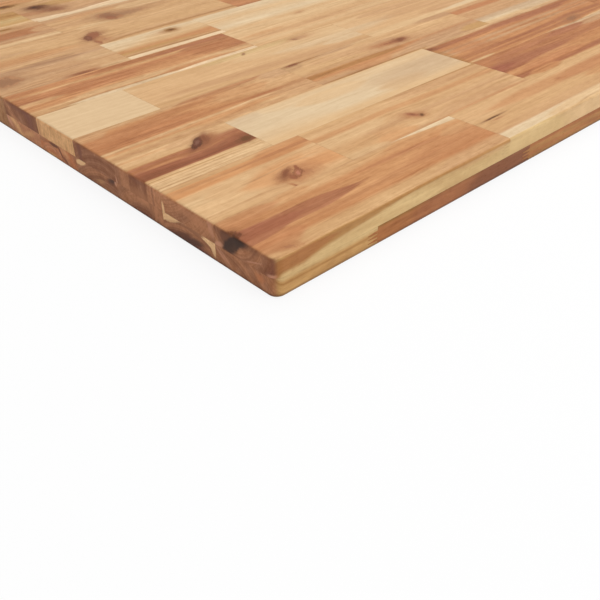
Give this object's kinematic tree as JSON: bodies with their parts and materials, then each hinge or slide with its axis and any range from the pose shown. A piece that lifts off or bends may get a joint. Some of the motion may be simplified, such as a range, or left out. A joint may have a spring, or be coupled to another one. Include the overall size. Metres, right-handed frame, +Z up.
{
  "type": "butcher-block table top",
  "caption": "Rectangular table top of solid acacia: two plies of finger-jointed staves glued edge to edge, with small rounded edges and corners.",
  "frame": {"origin": "middle of the underside", "axes": "+X along the staves, +Y across them, +Z up out of the top; the corner seen in the picture is the one at lowest X and lowest Y"},
  "size_m": [1, 0.6, 0.025],
  "materials": {
    "acacia_upper": "sanded smooth, clear satin oil; cream sapwood to russet heartwood",
    "acacia_lower": "sanded smooth, clear satin oil; tan to red-brown heartwood"
  },
  "bodies": {
    "root": {"lower_row_01": "acacia_lower", "lower_row_02": "acacia_lower", "lower_row_03": "acacia_lower", "lower_row_04": "acacia_lower", "lower_row_05": "acacia_lower", "lower_row_06": "acacia_lower", "lower_row_07": "acacia_lower", "lower_row_08": "acacia_lower", "lower_row_09": "acacia_lower", "lower_row_10": "acacia_lower", "lower_row_11": "acacia_lower", "lower_row_12": "acacia_lower", "upper_row_01": "acacia_upper", "upper_row_02": "acacia_upper", "upper_row_03": "acacia_upper", "upper_row_04": "acacia_upper", "upper_row_05": "acacia_upper", "upper_row_06": "acacia_upper", "upper_row_07": "acacia_upper", "upper_row_08": "acacia_upper", "upper_row_09": "acacia_upper", "upper_row_10": "acacia_upper", "upper_row_11": "acacia_upper", "upper_row_12": "acacia_upper"}
  },
  "joints": []
}
